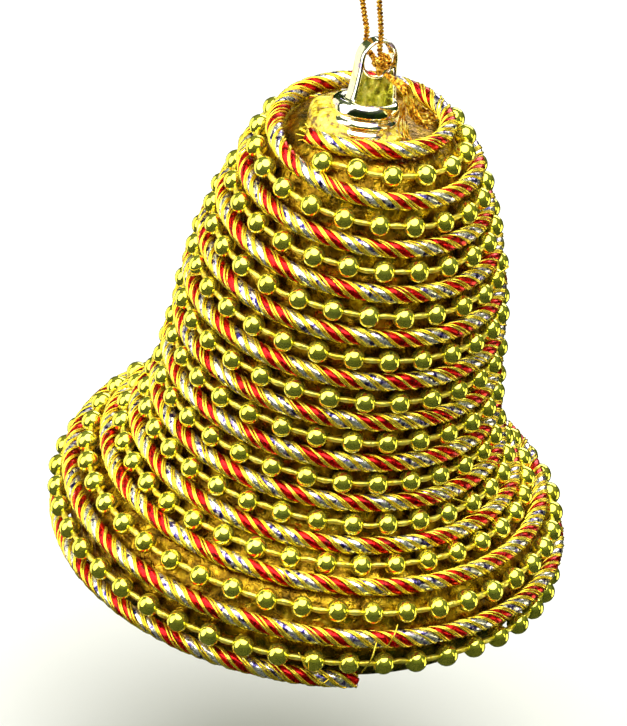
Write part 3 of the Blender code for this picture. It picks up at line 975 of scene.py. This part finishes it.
def tail_edges():
    """The two edges of the frayed ends, from the knot over the collar to the first turns."""
    edges = []
    for start, stops in TAIL_EDGES:
        route = [thread_point(*start)]
        for radius, degrees, height in stops:
            angle = math.radians(degrees)
            route.append(from_crown(radius * math.cos(angle), radius * math.sin(angle), height))
        edges.append(smooth_path(route, TAIL_STEPS))
    return edges


def make_tails(mat):
    """Unravelled thread ends: many fine wires that cross like a net."""
    front, side = tail_edges()
    share = np.linspace(0, 1, TAIL_STEPS)
    lift = np.array((0.45, -0.5, 0.75))
    solid = Solid()
    for _ in range(TAIL_WIRES):
        ends_at = int(TAIL_STEPS * RANDOM.uniform(0.75, 1.0))
        swing = 0.5 + 0.5 * np.sin(2 * math.pi * (RANDOM.uniform(0.9, 1.6) * share + RANDOM.uniform()))
        reach = np.clip(0.25 + 0.9 * share, 0, 0.75)
        across = 0.32 + (swing**0.75 - 0.5) * reach + smooth_noise(TAIL_STEPS, 12, 0.04)
        height = (RANDOM.uniform(0.3, 1.4) + smooth_noise(TAIL_STEPS, 9, 0.15)) * (0.5 + 0.8 * share) * MM
        points = front + (side - front) * across[:, None] + height[:, None] * lift
        radius = RANDOM.uniform(0.16, 0.23)
        solid.tube(rail(points[:ends_at]), radius * MM, 5)
    for _ in range(FALLEN_WIRES):
        degrees = RANDOM.uniform(-48, -30)
        stops = [(5.35, 7.0), (5.6, 5.2), (5.7, 3.6), (6.6, 2.4), (7.8 + RANDOM.uniform(0, 1.2), 1.9)]
        points = []
        for radius, height in stops:
            angle = math.radians(degrees + RANDOM.normal(0, 3))
            points.append(from_crown(radius * math.cos(angle), radius * math.sin(angle), height))
        solid.tube(rail(smooth_path(points, 40)), RANDOM.uniform(0.08, 0.12) * MM, 5)
    return solid.build("frayed_ends", mat)


# ---- clapper

def under_peg(height):
    """A point in metres on the plumb line that the clapper hangs on."""
    line = cap_point(0, 0, -PEG_LENGTH)
    return Vector((line.x, line.y, (height - LOOP_DROP) * MM))


def upright_ring(solid, centre, radius, across, gap=0.0, sides=12):
    """A wire ring that stands on edge; across is the direction that it faces."""
    across = np.array(across, dtype=float)
    level = np.cross(across, (0, 0, 1))
    turn = np.linspace(gap, 2 * math.pi - gap, 49)[:, None] + math.pi / 2
    points = np.array(centre) + radius * MM * (np.cos(turn) * level + np.sin(turn) * np.array((0, 0, 1)))
    points = points + across * np.linspace(-gap, gap, 49)[:, None] * radius * MM
    solid.tube(rail(points, across[None].repeat(49, axis=0)), WIRE_RADIUS * MM, sides)


def make_clapper(metal, gold):
    """Screw eye in the peg, jump ring, wire with its wound eye, and a bead on it."""
    hook_place = under_peg(HOOK_HEIGHT)
    hook = Solid()
    upright_ring(hook, hook_place, HOOK_RADIUS, (0, 1, 0))
    hook_top = under_peg(HOOK_HEIGHT + HOOK_RADIUS)
    shank = smooth_path([hook_top, cap_point(0, 0, -PEG_LENGTH), cap_point(0, 0, SHANK_TOP)], SHANK_STEPS)
    hook.tube(rail(shank), WIRE_RADIUS * MM, 12)
    middle, _, outward, across = rail(shank)
    turn = (path_lengths(shank) / (SCREW_PITCH * MM) * 2 * math.pi)[:, None]
    fine = np.linspace(6, SHANK_STEPS - 1, 160)
    helix = middle + WIRE_RADIUS * MM * (np.cos(turn) * outward + np.sin(turn) * across)
    helix = np.stack([np.interp(fine, np.arange(SHANK_STEPS), helix[:, k]) for k in range(3)], axis=1)
    hook.tube(rail(helix), 0.12 * MM, 6)
    hook = hook.build("screw_eye", metal)

    ring_height = HOOK_HEIGHT - HOOK_RADIUS + LINK_BITE - JUMP_RING_RADIUS
    ring = Solid()
    upright_ring(ring, under_peg(ring_height), JUMP_RING_RADIUS, (1, 0, 0), gap=0.045)
    ring = ring.build("jump_ring", metal)

    eye_height = ring_height - JUMP_RING_RADIUS + LINK_BITE - HOOK_RADIUS
    foot = BALL_HEIGHT - BALL_RADIUS - STEM_END
    wire = Solid()
    upright_ring(wire, under_peg(eye_height), HOOK_RADIUS, (0, 1, 0))
    stem = [under_peg(z) for z in np.linspace(eye_height - HOOK_RADIUS, foot, 30)]
    wire.tube(rail(stem), WIRE_RADIUS * MM, 12)
    coil = [
        under_peg(eye_height - HOOK_RADIUS - 0.5 - COIL_HEIGHT * t)
        + Vector((math.cos(20 * t), math.sin(20 * t), 0)) * COIL_RADIUS * MM
        for t in np.linspace(0, 1, 120)
    ]
    wire.tube(rail(coil), COIL_WIRE_RADIUS * MM, 8)
    wire.turned(STEM_HEAD, 24, Matrix.Translation(under_peg(foot - 0.4)))
    wire = wire.build("clapper_stem", metal)

    ball = Solid()
    bore = WIRE_RADIUS + GAP
    start = math.asin(bore / BALL_RADIUS)
    outline = []
    for a in np.linspace(start + 0.03, math.pi - start - 0.03, 48):
        seam = BALL_SEAM * math.exp(-(((a - 1.57) / 0.03) ** 2))
        outline.append((BALL_RADIUS * math.sin(a), BALL_RADIUS * math.cos(a) + seam))
    flat = BALL_RADIUS * math.cos(start)
    outline = [(bore, flat - 0.1), *outline, (bore, 0.1 - flat)]
    ball.turned(outline, 72, Matrix.Translation(under_peg(BALL_HEIGHT)))
    return hook, ring, wire, ball.build("clapper_bead", gold)


# ---- camera, lights and floor

TO_RIGHT = Vector(
    (
        math.cos(CAMERA_ROLL),
        math.sin(CAMERA_ROLL) * math.sin(CAMERA_ELEVATION),
        math.sin(CAMERA_ROLL) * math.cos(CAMERA_ELEVATION),
    )
)
TO_UP = Vector(
    (
        -math.sin(CAMERA_ROLL),
        math.cos(CAMERA_ROLL) * math.sin(CAMERA_ELEVATION),
        math.cos(CAMERA_ROLL) * math.cos(CAMERA_ELEVATION),
    )
)
TO_BACK = Vector((0, -math.cos(CAMERA_ELEVATION), math.sin(CAMERA_ELEVATION)))


def make_camera():
    """The camera fitted to the photograph."""
    data = bpy.data.cameras.new("camera")
    data.sensor_width = SENSOR
    data.lens = SENSOR * CAMERA_DISTANCE / (VIEW_HEIGHT * MM)
    data.clip_end = 20
    camera = bpy.data.objects.new("camera", data)
    bpy.context.scene.collection.objects.link(camera)
    right, up = CAMERA_AIM
    place = from_crown(0, 0, 0) + TO_RIGHT * right * MM + TO_UP * up * MM + TO_BACK * CAMERA_DISTANCE
    turn = Matrix((TO_RIGHT, TO_UP, TO_BACK)).transposed()
    camera.matrix_world = Matrix.Translation(place) @ turn.to_4x4()
    bpy.context.scene.camera = camera


def softbox(name, toward, distance, size, radiance, colour=(1, 1, 1)):
    """An area light that looks at the bell; toward is given right, up and back in the view."""
    data = bpy.data.lights.new(name, "AREA")
    data.shape = "ELLIPSE"
    data.size, data.size_y = size
    data.energy = radiance * math.pi * size[0] * size[1]
    data.color = colour
    light = bpy.data.objects.new(name, data)
    bpy.context.scene.collection.objects.link(light)
    right, up, back = toward
    direction = (TO_RIGHT * right + TO_UP * up + TO_BACK * back).normalized()
    light.location = from_crown(0, 0, -35) + direction * distance
    light.rotation_euler = direction.to_track_quat("Z", "Y").to_euler()
    light.visible_camera = False


SKY = (  # from straight below to straight above
    (0.0, (0.010, 0.022, 0.004)),
    (0.5, (0.010, 0.022, 0.004)),
    (0.62, (0.05, 0.08, 0.02)),
    (1.0, (0.24, 0.28, 0.18)),
)


def make_studio():
    """Soft boxes for the fir tree's lights, in a dark green room that is brighter above."""
    softbox("key_top", (0.10, 0.72, 0.68), 0.7, (1.00, 1.15), 2.9)
    softbox("key_left", (-0.88, 0.22, 0.42), 0.7, (0.60, 0.95), 2.2)
    softbox("fill_right", (0.95, 0.0, 0.25), 0.8, (0.20, 0.50), 1.6, (1.0, 0.93, 0.50))
    softbox("rim_back", (0.35, 0.75, -0.65), 0.8, (0.60, 0.40), 3.0)
    softbox("rim_left", (-0.80, 0.22, -0.56), 0.8, (0.70, 1.10), 1.0, (1.0, 0.96, 0.70))
    softbox("rim_right", (0.88, -0.20, -0.42), 0.8, (0.40, 0.60), 2.0, (1.0, 0.95, 0.60))
    world = bpy.data.worlds.new("studio")
    bpy.context.scene.world = world
    world.use_nodes = True
    tree = world.node_tree
    background = tree.nodes["Background"]
    place = tree.nodes.new("ShaderNodeTexCoord")
    split = tree.nodes.new("ShaderNodeSeparateXYZ")
    spread = tree.nodes.new("ShaderNodeMapRange")
    spread.inputs["From Min"].default_value = -1
    ramp = tree.nodes.new("ShaderNodeValToRGB")
    elements = ramp.color_ramp.elements
    for _ in SKY[1:-1]:
        elements.new(0.5)
    for element, (position, colour) in zip(elements, SKY):
        element.position = position
        element.color = (*colour, 1)
    tree.links.new(place.outputs["Generated"], split.inputs["Vector"])
    tree.links.new(split.outputs["Z"], spread.inputs["Value"])
    tree.links.new(spread.outputs["Result"], ramp.inputs["Fac"])
    tree.links.new(ramp.outputs["Color"], background.inputs["Color"])


def make_floor():
    """A plain pale floor under the bell, which the metal doesn't mirror."""
    solid = Solid()
    level = CAD_BOX[0].z - FLOOR_DROP
    corners = [(x * FLOOR_HALF, y * FLOOR_HALF, level) for x, y in ((-1, -1), (1, -1), (1, 1), (-1, 1))]
    solid.add(corners, [(0, 1, 2, 3)])
    mat = bpy.data.materials.new("floor")
    mat.use_nodes = True
    shader = mat.node_tree.nodes["Principled BSDF"]
    shader.inputs["Base Color"].default_value = (0.80, 0.79, 0.76, 1)
    shader.inputs["Roughness"].default_value = 0.9
    shader.inputs["Specular IOR Level"].default_value = 0.1
    floor = solid.build("floor", mat)
    floor.visible_glossy = False


# ---- the whole ornament

def ride(obj, body, slot, *nodes):
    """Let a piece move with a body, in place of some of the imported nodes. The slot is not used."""
    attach(obj, body)
    if nodes:
        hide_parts(*nodes)
    return obj


def main():
    make_camera()
    braid = thread_gold()
    thread, thread_line, thread_length = make_thread(braid)
    knot, knot_centre = make_knot(braid)
    tails = make_tails(frayed_gold())
    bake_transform(thread)
    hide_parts("hanger_loop")
    ride(knot, "knot", "gold_thread", "hanger_knot")
    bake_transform(tails)
    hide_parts("hanger_tail_front", "hanger_tail_side")

    ride(make_core(), "bell", "core_gold", "bell_shell")
    gold = bead_gold()
    ride(make_beads(), "bell", "bead_gold", "bead_garland")
    ride(make_links(), "bell", "bead_gold", "bead_garland")
    wire = wire_gold()
    ride(make_foil("cord_red_foil", (0, 0.25), red_foil()), "bell", "foil_cord", "twisted_cord")
    ride(make_foil("cord_silver_foil", (0.5, 0.75), silver_foil()), "bell", "foil_cord", "twisted_cord")
    ride(make_cord_wires("cord_wires_a", (0.125, 0.375), wire), "bell", "foil_cord", "twisted_cord")
    ride(make_cord_wires("cord_wires_b", (0.625, 0.875), wire), "bell", "foil_cord", "twisted_cord")
    ride(make_stray_wires(wire), "bell", "foil_cord")
    ride(make_cap(), "bell", "cap_metal", "cap")
    ride(make_web(web_metal()), "bell", "cap_metal", "cap")
    ride(make_glue(hot_glue()), "bell", "glue", "cap_glue")

    hook, ring, stem, ball = make_clapper(clapper_metal(), gold)
    ride(hook, "bell", "wire", "clapper_hook")
    ride(ring, "clapper_link", "wire", "clapper_ring")
    ride(stem, "clapper", "wire", "clapper_wire")
    ride(ball, "clapper", "bead_gold", "clapper_ball")

    make_studio()
    make_floor()
    bpy.context.scene.view_settings.view_transform = "Standard"


main()
